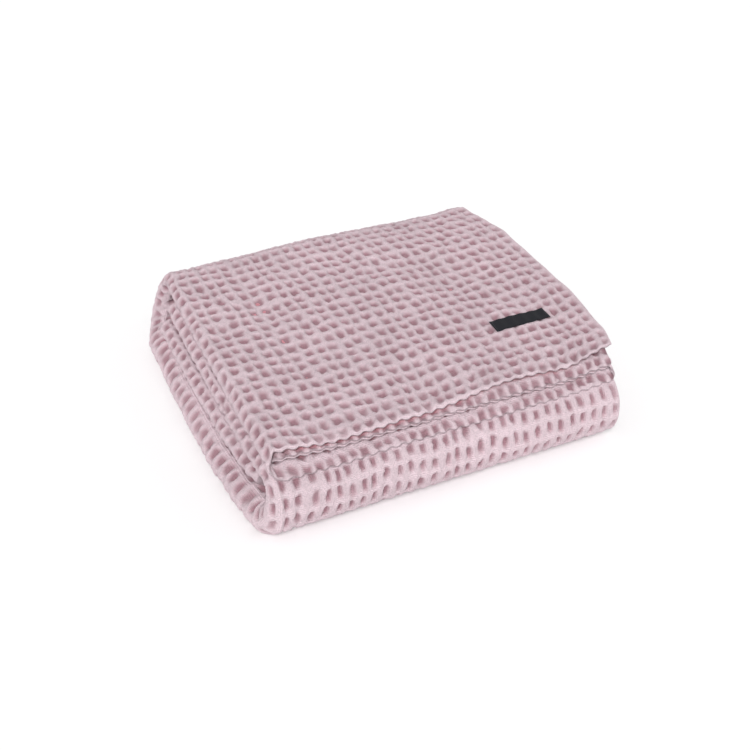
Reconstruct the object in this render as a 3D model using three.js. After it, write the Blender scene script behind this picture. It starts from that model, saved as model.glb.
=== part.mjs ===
// Folded waffle bedspread: one cotton sheet folded into four plies across its width, then rolled
// into a flat stack of four bundles, with a small woven label on the top face.
// Millimetres, +Z up, standing on z = 0 and centred on the origin, long front side along X at -Y.
// Standalone example:
//   import part from "./part.mjs";
//   const group = part;

import * as THREE from "three";

// Driving sizes of the weave and the sheet
const CELL = 12.5;
const SHEET_THICKNESS = 3.6;
const HALF_SHEET = SHEET_THICKNESS / 2;
const STACK_HEIGHT = 94;

// Position of the stack's near top corner, from which the tables below are measured in cells
const CORNER_X = -165.99;
const CORNER_Y = -176.23;

// The four bundles in the order the cloth runs: each is four plies thick.
// start, end: where the straight run begins and ends from front to back, in mm from the corner.
// middle: height of the bundle's centre. ply: distance from one ply to the next.
// right: outermost point of the edges on the right, in cells.
// bulge: share of the right side's bulge that the bundle takes.
const BUNDLES = [
  { name: "top", start: 24, end: 316, middle: 84.9, ply: 4.9, right: 27.9, bulge: 1, steps: 9 },
  { name: "bottom", start: 316, end: 32, middle: 16.95, ply: 10.1, right: 27.6, bulge: 0.6, steps: 8 },
  { name: "second", start: 32, end: 302, middle: 65.5, ply: 4.8, right: 27.8, bulge: 0.6, steps: 7 },
  { name: "third", start: 302, end: 42, middle: 45.4, ply: 4.9, right: 27.5, bulge: 0.6, steps: 7 },
];

// Outermost point of each bundle's left folds from front to back, all in cells
const LEFT_SIDE = [
  { y: 2.5, top: -0.75, bottom: -2.3, second: -1.05, third: -0.8 },
  { y: 5.5, top: -0.75, bottom: -2.7, second: -1.15, third: -1.5 },
  { y: 10, top: -0.78, bottom: -3, second: -1.25, third: -1.8 },
  { y: 16, top: -0.8, bottom: -3.1, second: -1.3, third: -2.05 },
  { y: 25, top: -0.75, bottom: -3, second: -1.25, third: -2.1 },
];

// The turns that join one bundle to the next. left, ply: values half way round the turn.
// roundness: 1 for a half circle and less for a squarer turn.
// lean: how much further the turn reaches at its right end than at its left, in mm.
const TURNS = [
  { name: "back wrap", left: -1.3, ply: 6.4, roundness: 1, lean: 0, steps: 12 },
  { name: "front wall", left: -1.35, ply: 6.9, roundness: 0.8, lean: 4.5, steps: 12 },
  { name: "inner end", left: -0.35, ply: 4.7, roundness: 1, lean: 0, steps: 8 },
];

// Stations crowd towards the loose front end of the top bundle by this power.
const FRONT_CROWDING = 1.6;

// The loose front end of the top bundle droops over the wall below it.
const DROOP = [
  { y: 4, drop: 7 },
  { y: 12, drop: 3.6 },
  { y: 24, drop: 0 },
];

// Front edge of each ply of the top bundle from left to right, in cells behind the corner
const FRONT_EDGES = [
  { x: 0, first: 1.7, second: 1.6, third: 1.2, fourth: 0.55 },
  { x: 3.5, first: 1.33, second: 1.4, third: 1.05, fourth: 0.5 },
  { x: 11, first: 1.3, second: 1.2, third: 1, fourth: 0.5 },
  { x: 19, first: 1.9, second: 1.15, third: 0.95, fourth: 0.45 },
  { x: 23.5, first: 1.65, second: 1.05, third: 0.95, fourth: 0.45 },
  { x: 28, first: 2.6, second: 1.2, third: 1, fourth: 0.5 },
];

// Bulge of the right side from front to back. y, out: in cells
const RIGHT_BULGE = [
  { y: 1, out: 0.6 },
  { y: 5, out: 1.5 },
  { y: 10, out: 1.8 },
  { y: 15, out: 1.55 },
  { y: 20, out: 1.1 },
  { y: 25.2, out: 0 },
];

// How far each ply's edge or fold on the right side stays back from the bundle's edge, in mm
const SET_BACK = { first: 0, second: 6, fold: 3 };

// Soft humps and hollows of the settled stack, full size at the top and none at the table.
// x, y in cells from the corner, wide and deep in cells, rise in mm.
const SWELLS = [
  { name: "hump at the far right", x: 26, y: 20, wide: 3.6, deep: 5, rise: 2 },
  { name: "back edge falls away", x: 25, y: 28.5, wide: 7, deep: 3.5, rise: -9 },
  { name: "hollow beside the label", x: 22.5, y: 16.5, wide: 3.4, deep: 4.5, rise: -3.2 },
  { name: "press line on the left", x: 5.2, y: 14, wide: 1.6, deep: 16, rise: -2.0 },
  { name: "raised middle", x: 13, y: 15, wide: 6, deep: 9, rise: 1.8 },
  { name: "sagging right edge", x: 30, y: 8, wide: 3, deep: 7, rise: -1.2 },
  { name: "sagging front right", x: 26, y: 0, wide: 6, deep: 3, rise: -1.8 },
];

// Steps across the sheet: flat plies and the folds between them
const FLAT_STEPS = 6;
const OUTER_FOLD_STEPS = 10;
const INNER_FOLD_STEPS = 6;
const RIGHT_FOLD_STEPS = 5;

// Label sewn on the top face
const LABEL = { x: 23.65, y: 8.22, long: 62, short: 17.5, thick: 0.8, above: 0.45, turn: 0.012 };
const LABEL_STEPS_LONG = 10;
const LABEL_STEPS_SHORT = 3;

const COTTON = new THREE.MeshStandardMaterial({ color: 0xd9c6cd, roughness: 0.95, metalness: 0 });
const LABEL_CLOTH = new THREE.MeshStandardMaterial({ color: 0x2b2c31, roughness: 0.8, metalness: 0 });
COTTON.name = "cotton";
LABEL_CLOTH.name = "label_cloth";

// Value of a named column in a table of rows sorted by another column, eased between the rows
function readTable(rows, sortedBy, column, place) {
  if (place <= rows[0][sortedBy]) {
    return rows[0][column];
  }
  for (let i = 1; i < rows.length; i += 1) {
    if (place <= rows[i][sortedBy]) {
      const share = (place - rows[i - 1][sortedBy]) / (rows[i][sortedBy] - rows[i - 1][sortedBy]);
      const eased = share * share * (3 - 2 * share);
      return rows[i - 1][column] + (rows[i][column] - rows[i - 1][column]) * eased;
    }
  }
  return rows[rows.length - 1][column];
}

// Reach of a bundle's left folds at a place from front to back in mm, in cells
function leftReach(bundle, y) {
  return readTable(LEFT_SIDE, "y", bundle.name, y / CELL);
}

function mix(a, b, share) {
  return a + (b - a) * share;
}

// Eased value along a turn that starts at a, passes middle and ends at b
function throughMiddle(a, middle, b, share) {
  const bend = 4 * share * (1 - share);
  const eased = share * share * (3 - 2 * share);
  return mix(a, b, eased) + (middle - (a + b) / 2) * bend;
}

// Stations along the length of the sheet: centre of the bundle, its outward direction and sizes.
// Outward is up on the top bundle and stays on the same skin of the cloth all the way round.
function lengthStations() {
  const stations = [];
  BUNDLES.forEach((bundle, index) => {
    const heading = Math.sign(bundle.end - bundle.start);
    const isTop = index === 0;
    for (let k = 0; k <= bundle.steps; k += 1) {
      const share = isTop ? (k / bundle.steps) ** FRONT_CROWDING : k / bundle.steps;
      const y = mix(bundle.start, bundle.end, share);
      stations.push({
        y,
        z: bundle.middle,
        outY: 0,
        outZ: heading,
        ply: bundle.ply,
        left: leftReach(bundle, y),
        right: bundle.right,
        lean: 0,
        bulge: bundle.bulge,
        towardsFront: isTop ? 1 - share : 0,
        loose: isTop,
      });
    }
    if (index < TURNS.length) {
      stations.push(...turnStations(index, heading));
    }
  });
  return stations;
}

// Power of a sine or cosine that keeps its sign
function shaped(value, power) {
  return Math.sign(value) * Math.abs(value) ** power;
}

// Round or squarish turn from one bundle to the next, leaving out its two ends
function turnStations(index, heading) {
  const from = BUNDLES[index];
  const to = BUNDLES[index + 1];
  const turn = TURNS[index];
  const centreZ = (from.middle + to.middle) / 2;
  const radius = Math.abs(from.middle - to.middle) / 2;
  const upwards = Math.sign(from.middle - to.middle);
  const skin = upwards * heading;
  const fromLeft = leftReach(from, from.end);
  const toLeft = leftReach(to, to.start);
  const stations = [];
  for (let k = 1; k < turn.steps; k += 1) {
    const share = k / turn.steps;
    const sine = Math.sin(Math.PI * share);
    const cosine = Math.cos(Math.PI * share);
    const outForward = shaped(sine, 2 - turn.roundness);
    const outUpward = shaped(cosine, 2 - turn.roundness);
    const outLength = Math.hypot(outForward, outUpward);
    stations.push({
      y: from.end + heading * radius * shaped(sine, turn.roundness),
      z: centreZ + upwards * radius * shaped(cosine, turn.roundness),
      outY: (skin * heading * outForward) / outLength,
      outZ: (skin * upwards * outUpward) / outLength,
      ply: throughMiddle(from.ply, turn.ply, to.ply, share),
      left: throughMiddle(fromLeft, turn.left, toLeft, share),
      right: mix(from.right, to.right, share),
      lean: heading * turn.lean * sine,
      bulge: to.bulge,
      towardsFront: 0,
      loose: false,
    });
  }
  return stations;
}

// A straight ply across the sheet. level: height in plies from the bundle's centre.
// across: 0 at the centre of the left folds and 1 at the right. skin: which way the outer skin faces.
function flatPly(level, skin, from, to, ply) {
  const stations = [];
  for (let k = 0; k <= FLAT_STEPS; k += 1) {
    stations.push({
      level,
      across: mix(from, to, k / FLAT_STEPS),
      foldX: 0,
      normalX: 0,
      normalLevel: skin,
      ply,
      nextPly: ply,
      blend: 0,
    });
  }
  return stations;
}

// A fold between two plies, leaving out its ends. direction: -1 bulges left and 1 right.
// first: 1 when it starts from the upper ply. skin: 1 when the outer skin is on its outside.
function plyFold(centre, radius, direction, first, skin, steps, ply, nextPly) {
  const stations = [];
  for (let k = 1; k < steps; k += 1) {
    const angle = (Math.PI * k) / steps;
    const reach = direction * Math.sin(angle);
    const rise = first * Math.cos(angle);
    stations.push({
      level: centre + radius * rise,
      across: direction < 0 ? 0 : 1,
      foldX: radius * reach,
      normalX: skin * reach,
      normalLevel: skin * rise,
      ply,
      nextPly,
      blend: k / steps,
    });
  }
  return stations;
}

// The four plies from the free right edge of the first to the free right edge of the second
function widthStations() {
  return [
    ...flatPly(1.5, 1, 1, 0, "first"),
    ...plyFold(0, 1.5, -1, 1, 1, OUTER_FOLD_STEPS, "first", "fourth"),
    ...flatPly(-1.5, -1, 0, 1, "fourth"),
    ...plyFold(-1, 0.5, 1, -1, 1, RIGHT_FOLD_STEPS, "fourth", "third"),
    ...flatPly(-0.5, 1, 1, 0, "third"),
    ...plyFold(0, 0.5, -1, -1, -1, INNER_FOLD_STEPS, "third", "second"),
    ...flatPly(0.5, -1, 0, 1, "second"),
  ];
}

// Height of the soft swells over a point of the stack, in mm
function swellAt(x, y) {
  const cellX = (x - CORNER_X) / CELL;
  const cellY = (y - CORNER_Y) / CELL;
  let rise = 0;
  for (const swell of SWELLS) {
    const dx = (cellX - swell.x) / swell.wide;
    const dy = (cellY - swell.y) / swell.deep;
    rise += swell.rise * Math.exp(-(dx * dx + dy * dy));
  }
  return rise;
}

// The swells lift and sink the whole height in proportion, so the base stays flat.
function settle(x, y, z) {
  return new THREE.Vector3(x, y, z * (1 + swellAt(x, y) / STACK_HEIGHT));
}

// Front edge of a ply at a place across the width, in mm from the corner
function frontEdge(width, length) {
  const x = mix(length.left, length.right, width.across);
  const own = readTable(FRONT_EDGES, "x", width.ply, x);
  const next = readTable(FRONT_EDGES, "x", width.nextPly, x);
  return mix(own, next, width.blend) * CELL;
}

// Right end of a ply, where it is cut or where its fold has its centre, in mm from the corner
function rightEnd(width, length, y) {
  const bulge = length.bulge * readTable(RIGHT_BULGE, "y", "out", y / CELL);
  const edge = (length.right + bulge) * CELL;
  if (width.ply === "first" || width.ply === "second") {
    return edge - SET_BACK[width.ply];
  }
  return edge - SET_BACK.fold - length.ply / 2 - HALF_SHEET;
}

// One point of the sheet. side: 1 on the outer skin and -1 on the inner skin
function sheetPoint(width, length, side) {
  const back = BUNDLES[0].end;
  const front = frontEdge(width, length);
  const y = length.loose ? mix(back, front, length.towardsFront) : length.y + length.lean * width.across;
  const z = length.loose ? length.z - readTable(DROOP, "y", "drop", y) : length.z;
  const leftEnd = length.left * CELL + 1.5 * length.ply + HALF_SHEET;
  const straight = mix(leftEnd, rightEnd(width, length, y), width.across);
  const x = straight + width.foldX * length.ply + side * width.normalX * HALF_SHEET;
  const offset = width.level * length.ply + side * width.normalLevel * HALF_SHEET;
  return settle(CORNER_X + x, CORNER_Y + y + offset * length.outY, z + offset * length.outZ);
}

// Closed solid from two facing grids of points with the same rows and columns
function solidFromSkins(outer, inner) {
  const rows = outer.length;
  const columns = outer[0].length;
  const count = rows * columns;
  const positions = [];
  [outer, inner].forEach((grid) => grid.forEach((row) => row.forEach((p) => positions.push(p.x, p.y, p.z))));
  const faces = [];
  const quad = (a, b, c, d) => faces.push(a, b, c, a, c, d);
  const at = (i, j) => i * columns + j;
  for (let i = 0; i + 1 < rows; i += 1) {
    for (let j = 0; j + 1 < columns; j += 1) {
      quad(at(i, j), at(i, j + 1), at(i + 1, j + 1), at(i + 1, j));
      quad(count + at(i, j), count + at(i + 1, j), count + at(i + 1, j + 1), count + at(i, j + 1));
    }
  }
  for (let j = 0; j + 1 < columns; j += 1) {
    const last = rows - 1;
    quad(at(0, j), count + at(0, j), count + at(0, j + 1), at(0, j + 1));
    quad(at(last, j), at(last, j + 1), count + at(last, j + 1), count + at(last, j));
  }
  for (let i = 0; i + 1 < rows; i += 1) {
    const last = columns - 1;
    quad(at(i, 0), at(i + 1, 0), count + at(i + 1, 0), count + at(i, 0));
    quad(at(i, last), count + at(i, last), count + at(i + 1, last), at(i + 1, last));
  }
  const geometry = new THREE.BufferGeometry();
  geometry.setAttribute("position", new THREE.Float32BufferAttribute(positions, 3));
  geometry.setIndex(faces);
  geometry.computeVertexNormals();
  return geometry;
}

function buildSheet() {
  const lengths = lengthStations();
  const widths = widthStations();
  const skin = (side) => widths.map((width) => lengths.map((length) => sheetPoint(width, length, side)));
  return solidFromSkins(skin(1), skin(-1));
}

// The label follows the top face a little above it.
function labelPoint(along, across, rise) {
  const top = BUNDLES[0];
  const dx = (along - 0.5) * LABEL.long;
  const dy = (across - 0.5) * LABEL.short;
  const x = CORNER_X + LABEL.x * CELL + dx * Math.cos(LABEL.turn) - dy * Math.sin(LABEL.turn);
  const y = CORNER_Y + LABEL.y * CELL + dx * Math.sin(LABEL.turn) + dy * Math.cos(LABEL.turn);
  const face = settle(x, y, top.middle + 1.5 * top.ply + HALF_SHEET);
  face.z += LABEL.above + rise;
  return face;
}

function buildLabel() {
  const skin = (rise) => {
    const rows = [];
    for (let i = 0; i <= LABEL_STEPS_SHORT; i += 1) {
      const row = [];
      for (let j = 0; j <= LABEL_STEPS_LONG; j += 1) {
        row.push(labelPoint(j / LABEL_STEPS_LONG, i / LABEL_STEPS_SHORT, rise));
      }
      rows.push(row);
    }
    return rows;
  };
  return solidFromSkins(skin(LABEL.thick), skin(0));
}

function part(name, geometry, material) {
  const mesh = new THREE.Mesh(geometry, material);
  mesh.name = name;
  return mesh;
}

const bedspread = new THREE.Group();
bedspread.name = "folded_waffle_bedspread";
bedspread.add(part("bedspread", buildSheet(), COTTON));
bedspread.add(part("label", buildLabel(), LABEL_CLOTH));

export default bedspread;
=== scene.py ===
"""Folded waffle bedspread: a deep honeycomb cotton cloth folded into a soft flat stack.

One sheet is folded into four plies across its width. The four plies are then wound up into four
flat bundles, top, bottom, second and third, with a turn between each two. A small plain woven
label lies on the top face. Sizes are in millimetres from the stack's near top corner, with
X along the long front side, Y towards the back wrap and Z up.
"""

import math

import bpy
import numpy as np
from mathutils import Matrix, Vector


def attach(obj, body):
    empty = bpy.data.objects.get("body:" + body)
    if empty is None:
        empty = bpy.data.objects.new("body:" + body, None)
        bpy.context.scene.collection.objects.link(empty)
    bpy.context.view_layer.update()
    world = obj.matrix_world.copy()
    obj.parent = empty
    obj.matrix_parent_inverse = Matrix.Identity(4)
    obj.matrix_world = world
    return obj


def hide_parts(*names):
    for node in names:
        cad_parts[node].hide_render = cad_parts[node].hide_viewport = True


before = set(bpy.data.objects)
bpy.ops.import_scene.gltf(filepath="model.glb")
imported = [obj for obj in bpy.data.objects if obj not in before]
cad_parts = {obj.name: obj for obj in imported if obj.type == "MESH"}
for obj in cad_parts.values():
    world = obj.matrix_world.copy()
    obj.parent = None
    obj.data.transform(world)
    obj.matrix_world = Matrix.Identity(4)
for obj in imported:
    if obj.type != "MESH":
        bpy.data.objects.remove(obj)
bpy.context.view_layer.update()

bl_info = {
    "name": "Folded waffle bedspread",
    "version": (1, 0, 0),
    "blender": (4, 5, 0),
    "location": "View3D > Sidebar > Bedspread",
    "description": "Builds a folded waffle bedspread, its label and a plain pale stage",
    "category": "Object",
}

# Position of the stack's near top corner in the object's frame, and the stack's height
CORNER_X = -165.99
CORNER_Y = -176.23
STACK_HEIGHT = 94.0

# Bundles in the order the cloth runs, with the same sizes as the stack's solid.
# start, end: straight run along Y. middle: height of its centre. ply: ply to ply distance.
# right: reach of the edges in cells. bulge: share of the right side's bulge.
BUNDLES = (
    {"name": "top", "start": 24.0, "end": 316.0, "middle": 84.9, "ply": 4.9, "right": 27.9,
     "bulge": 1.0},
    {"name": "bottom", "start": 316.0, "end": 32.0, "middle": 16.95, "ply": 10.1, "right": 27.6,
     "bulge": 0.6},
    {"name": "second", "start": 32.0, "end": 302.0, "middle": 65.5, "ply": 4.8, "right": 27.8,
     "bulge": 0.6},
    {"name": "third", "start": 302.0, "end": 42.0, "middle": 45.4, "ply": 4.9, "right": 27.5,
     "bulge": 0.6},
)

# Outermost point of each bundle's left folds from front to back, all in cells
LEFT_SIDE = {
    "y": (2.5, 5.5, 10.0, 16.0, 25.0),
    "top": (-0.75, -0.75, -0.78, -0.8, -0.75),
    "bottom": (-2.3, -2.7, -3.0, -3.1, -3.0),
    "second": (-1.05, -1.15, -1.25, -1.3, -1.25),
    "third": (-0.8, -1.5, -1.8, -2.05, -2.1),
}

# Turns between the bundles. left, ply: values half way round. rows: waffle rows round the turn.
# roundness: 1 for a half circle and less for a squarer turn. lean: extra reach on the right, mm.
# drawn: how much longer and narrower its cells are drawn out half way round.
TURNS = (
    {"name": "back wrap", "left": -1.3, "ply": 6.4, "roundness": 1.0, "lean": 0.0, "rows": 8,
     "drawn": 0.25},
    {"name": "front wall", "left": -1.35, "ply": 6.9, "roundness": 0.8, "lean": 4.5, "rows": 6,
     "drawn": 0.55},
    {"name": "inner end", "left": -0.35, "ply": 4.7, "roundness": 1.0, "lean": 0.0, "rows": 3,
     "drawn": 0.0},
)

# How the top bundle's loose front end droops over the wall. y, drop in mm
DROOP = {"y": (4.0, 12.0, 24.0), "drop": (7.0, 3.6, 0.0)}

# Front edge of each ply of the top bundle from left to right, all in cells
FRONT_EDGES = {
    "x": (0.0, 3.5, 11.0, 19.0, 23.5, 28.0),
    "first": (1.7, 1.33, 1.3, 1.9, 1.65, 2.6),
    "second": (1.6, 1.4, 1.2, 1.15, 1.05, 1.2),
    "third": (1.7, 1.5, 1.32, 1.27, 1.17, 1.32),
    "fourth": (0.55, 0.5, 0.5, 0.45, 0.45, 0.5),
}

# Bulge of the right side from front to back. y, out in cells
RIGHT_BULGE = {"y": (1.0, 5.0, 10.0, 15.0, 20.0, 25.2), "out": (0.6, 1.5, 1.8, 1.55, 1.1, 0.0)}

# How far each ply's edge or fold stays back from the right side, in mm
SET_BACK = {"first": 0.0, "second": 6.0, "fold": 3.0}

# Soft humps and hollows of the settled stack. x, y, wide, deep in cells, rise in mm
SWELLS = (
    {"name": "hump at the far right", "x": 26.0, "y": 20.0, "wide": 3.6, "deep": 5.0, "rise": 2.0},
    {"name": "back edge falls away", "x": 25.0, "y": 28.5, "wide": 7.0, "deep": 3.5, "rise": -9.0},
    {"name": "hollow beside the label", "x": 22.5, "y": 16.5, "wide": 3.4, "deep": 4.5, "rise": -3.2},
    {"name": "press line on the left", "x": 5.2, "y": 14.0, "wide": 1.6, "deep": 16.0, "rise": -2.0},
    {"name": "raised middle", "x": 13.0, "y": 15.0, "wide": 6.0, "deep": 9.0, "rise": 1.8},
    {"name": "sagging right edge", "x": 30.0, "y": 8.0, "wide": 3.0, "deep": 7.0, "rise": -1.2},
    {"name": "sagging front right", "x": 26.0, "y": 0.0, "wide": 6.0, "deep": 3.0, "rise": -1.8},
)

# Main creases of the top face, each a soft trough that runs from front to back.
# y, x: places along it in cells. wide in cells. deep in mm.
# flat: share of the relief that it presses out.
CREASES = (
    {"y": (3.0, 10.0, 16.0, 21.0, 26.0), "x": (5.4, 5.4, 5.1, 5.1, 4.4), "wide": 0.55,
     "deep": 1.3, "flat": 0.45},
    {"y": (12.0, 15.0, 18.0, 24.5), "x": (21.1, 20.9, 20.4, 20.8), "wide": 0.8,
     "deep": 1.5, "flat": 0.3},
    {"y": (12.5, 15.0, 17.6), "x": (25.1, 24.4, 23.6), "wide": 0.8,
     "deep": 1.3, "flat": 0.3},
)

# Cells over which each end of a crease dies out
CREASE_END = 2.0

# The plies and folds across the sheet, from the first ply's free edge to the second's.
# cells: waffle columns. level: height in plies from the bundle's centre.
# start, end: cells from the left folds' centre. skin: 1 where the outer skin faces up.
# A fold has its centre and radius in plies instead. reach: -1 left, 1 right. first: 1 from above.
# skin: 1 where the outer skin is on its outside.
PLY_CELLS = 29
NEAR_CELLS = 3
SHOWN_CELLS = 5

# Level of the two outermost plies, in plies from the bundle's centre
OUTER_PLY = 1.5
SECTIONS = (
    {"name": "first", "next": "first", "level": OUTER_PLY, "start": PLY_CELLS, "end": NEAR_CELLS,
     "skin": 1},
    {"name": "first", "next": "first", "level": OUTER_PLY, "start": NEAR_CELLS, "end": 0,
     "skin": 1},
    {"name": "first", "next": "fourth", "cells": 2, "centre": 0.0, "radius": OUTER_PLY,
     "reach": -1, "first": 1, "skin": 1},
    {"name": "fourth", "next": "fourth", "level": -OUTER_PLY, "start": 0, "end": SHOWN_CELLS,
     "skin": -1},
    {"name": "fourth", "next": "fourth", "level": -OUTER_PLY, "start": SHOWN_CELLS,
     "end": PLY_CELLS, "skin": -1},
    {"name": "fourth", "next": "third", "cells": 1, "centre": -1.0, "radius": 0.5,
     "reach": 1, "first": -1, "skin": 1},
    {"name": "third", "next": "third", "level": -0.5, "start": PLY_CELLS, "end": 0, "skin": 1},
    {"name": "third", "next": "second", "cells": 1, "centre": 0.0, "radius": 0.5,
     "reach": -1, "first": -1, "skin": -1},
    {"name": "second", "next": "second", "level": 0.5, "start": 0, "end": PLY_CELLS, "skin": -1},
)


def millimetres(value):
    """Length in metres of a size in millimetres."""
    return value / 1000.0


def smooth(share):
    """Eased share from 0 to 1."""
    share = np.clip(share, 0.0, 1.0)
    return share * share * (3.0 - 2.0 * share)


def eased_table(table, sorted_by, column, place):
    """Named column of a table at a place of another column, eased between its rows."""
    rows = np.asarray(table[sorted_by])
    values = np.asarray(table[column])
    place = np.clip(place, rows[0], rows[-1])
    index = np.clip(np.searchsorted(rows, place, side="right") - 1, 0, len(rows) - 2)
    share = smooth((place - rows[index]) / (rows[index + 1] - rows[index]))
    return values[index] + (values[index + 1] - values[index]) * share


def mix(a, b, share):
    """Value between a and b."""
    return a + (b - a) * share


def through_middle(a, middle, b, share):
    """Eased value along a turn from a to b with its own value half way."""
    return mix(a, b, smooth(share)) + (middle - (a + b) / 2.0) * 4.0 * share * (1.0 - share)


def shaped(value, power):
    """Power of a sine or cosine that keeps its sign."""
    return np.sign(value) * np.abs(value) ** power


def section_cells(section):
    """Waffle columns on a section of the sheet."""
    if "cells" in section:
        return section["cells"]
    return abs(section["end"] - section["start"])


SHEET_CELLS = sum(section_cells(section) for section in SECTIONS)

# Waffle cells across and along in a table of cells' own values, which then repeats
TABLE_CELLS = (160, 140)


class Weave:
    """Soft unevenness of the hand-pressed weave, the same on every build."""

    def __init__(self, seed, shortest, longest, waves=14):
        """Draw the waves' directions and phases once. shortest, longest: wave lengths in cells."""
        draw = np.random.RandomState(seed)
        angle = draw.uniform(0.0, 2.0 * math.pi, waves)
        length = draw.uniform(shortest, longest, waves)
        self.along_u = np.cos(angle) * 2.0 * math.pi / length
        self.along_v = np.sin(angle) * 2.0 * math.pi / length
        self.phase = draw.uniform(0.0, 2.0 * math.pi, waves)
        self.per_cell = draw.uniform(-1.0, 1.0, TABLE_CELLS)

    def wander(self, u, v):
        """Smooth value near -1 to 1 at a place of the cloth, in cells."""
        total = np.zeros(np.broadcast(u, v).shape)
        for wave_u, wave_v, phase in zip(self.along_u, self.along_v, self.phase):
            total += np.sin(u * wave_u + v * wave_v + phase)
        return total / math.sqrt(len(self.phase))

    def cell_value(self, u, v):
        """Value of its own for each waffle cell, from -1 to 1."""
        column = np.floor(u).astype(int) % self.per_cell.shape[0]
        row = np.floor(v).astype(int) % self.per_cell.shape[1]
        return self.per_cell[column, row]


# Unevenness of the ridges' lines, of the stack's height and of the yarns within a cell
WARP_ACROSS = Weave(seed=11, shortest=2.3, longest=9.0)
WARP_ALONG = Weave(seed=23, shortest=2.3, longest=9.0)
LOFT = Weave(seed=37, shortest=2.3, longest=9.0)
LUMPS = Weave(seed=51, shortest=0.3, longest=0.75, waves=26)


def left_reach(bundle, y, sizes):
    """Reach of a bundle's left folds at a place from front to back in mm, in cells."""
    return eased_table(LEFT_SIDE, "y", bundle["name"], y / sizes.cell_across)


def length_run(bundle, count, first_row, loose, sizes):
    """Row stations of a straight bundle, as columns of numbers."""
    share = np.linspace(0.0, 1.0, count + 1)
    heading = math.copysign(1.0, bundle["end"] - bundle["start"])
    rows = abs(bundle["end"] - bundle["start"]) / sizes.cell_along
    flat = np.ones_like(share)
    y = mix(bundle["start"], bundle["end"], share)
    return {
        "y": y,
        "z": bundle["middle"] * flat,
        "out_y": 0.0 * flat,
        "out_z": heading * flat,
        "ply": bundle["ply"] * flat,
        "left": left_reach(bundle, y, sizes),
        "right": bundle["right"] * flat,
        "lean": 0.0 * flat,
        "bulge": bundle["bulge"] * flat,
        "drawn": 0.0 * flat,
        "front": (1.0 - share) * loose,
        "loose": loose * flat,
        "v": first_row + rows * share,
    }


def length_turn(index, count, first_row, sizes):
    """Row stations of the round or squarish turn after a bundle."""
    start, end, turn = BUNDLES[index], BUNDLES[index + 1], TURNS[index]
    heading = math.copysign(1.0, start["end"] - start["start"])
    upwards = math.copysign(1.0, start["middle"] - end["middle"])
    radius = abs(start["middle"] - end["middle"]) / 2.0
    centre = (start["middle"] + end["middle"]) / 2.0
    share = np.linspace(0.0, 1.0, count + 1)
    sine, cosine = np.sin(math.pi * share), np.cos(math.pi * share)
    out_forward = shaped(sine, 2.0 - turn["roundness"])
    out_upward = shaped(cosine, 2.0 - turn["roundness"])
    out_length = np.hypot(out_forward, out_upward)
    left = left_reach(start, start["end"], sizes)
    next_left = left_reach(end, end["start"], sizes)
    skin = upwards * heading
    flat = np.ones_like(share)
    return {
        "y": start["end"] + heading * radius * shaped(sine, turn["roundness"]),
        "z": centre + upwards * radius * shaped(cosine, turn["roundness"]),
        "out_y": skin * heading * out_forward / out_length,
        "out_z": skin * upwards * out_upward / out_length,
        "ply": through_middle(start["ply"], turn["ply"], end["ply"], share),
        "left": through_middle(left, turn["left"], next_left, share),
        "right": mix(start["right"], end["right"], share),
        "lean": heading * turn["lean"] * sine,
        "bulge": end["bulge"] * flat,
        "drawn": turn["drawn"] * sine,
        "front": 0.0 * flat,
        "loose": 0.0 * flat,
        "v": first_row + turn["rows"] * share,
    }


def join_rows(parts):
    """One table of row stations from several, without the shared ends twice."""
    joined = {}
    for column in parts[0]:
        pieces = [parts[0][column]] + [part[column][1:] for part in parts[1:]]
        joined[column] = np.concatenate(pieces)
    return joined


def pick_rows(rows, chosen):
    """Some rows of a table of stations."""
    return {column: values[chosen] for column, values in rows.items()}


def width_columns(per_cell):
    """Column stations across one skin. per_cell: steps a cell on each section in turn."""
    keys = ("u", "level", "across", "fold", "normal_x", "normal_level", "blend", "section", "inwards")
    table = {key: [] for key in keys}
    first = 0.0
    for number, (section, fine) in enumerate(zip(SECTIONS, per_cell)):
        cells = section_cells(section)
        count = max(1, int(round(cells * fine)))
        share = np.linspace(0.0, 1.0, count + 1)
        if number:
            share = share[1:]
        flat = np.ones_like(share)
        table["u"].append(first + cells * share)
        table["section"].append(number * flat)
        if "level" in section:
            inwards = mix(section["start"], section["end"], share)
            table["level"].append(section["level"] * flat)
            table["across"].append(inwards / PLY_CELLS)
            table["fold"].append(0.0 * flat)
            table["normal_x"].append(0.0 * flat)
            table["normal_level"].append(section["skin"] * flat)
            table["blend"].append(0.0 * flat)
            table["inwards"].append(inwards)
        else:
            side = 0.0 if section["reach"] < 0 else 1.0
            sine = section["reach"] * np.sin(math.pi * share)
            cosine = section["first"] * np.cos(math.pi * share)
            table["level"].append(section["centre"] + section["radius"] * cosine)
            table["across"].append(side * flat)
            table["fold"].append(section["radius"] * sine)
            table["normal_x"].append(section["skin"] * sine)
            table["normal_level"].append(section["skin"] * cosine)
            table["blend"].append(share)
            table["inwards"].append(side * PLY_CELLS * flat)
        first += cells
    return {key: np.concatenate(values) for key, values in table.items()}


def by_section(columns, value):
    """One number a column, looked up from its section's row."""
    numbers = np.ravel(columns["section"])
    return np.array([value(SECTIONS[int(number)]) for number in numbers])[None, :]


def by_ply(columns, key, value):
    """One number a place, worked out for the ply that each column's section names."""
    names = [SECTIONS[int(number)][key] for number in columns["section"]]
    total = 0.0
    for name in sorted(set(names)):
        chosen = np.array([float(own == name) for own in names])[None, :]
        total = total + chosen * value(name)
    return total


# A pit's outline: 2 for round and more for squarer
PIT_SQUARENESS = 3

# Change of a pit's rim from cell to cell, as a share
RIM_CHANGE = 0.08

# Cells between the ridges' lumps and the ragged rims, so that the two don't match
RIM_OFFSET = 7.3


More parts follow.
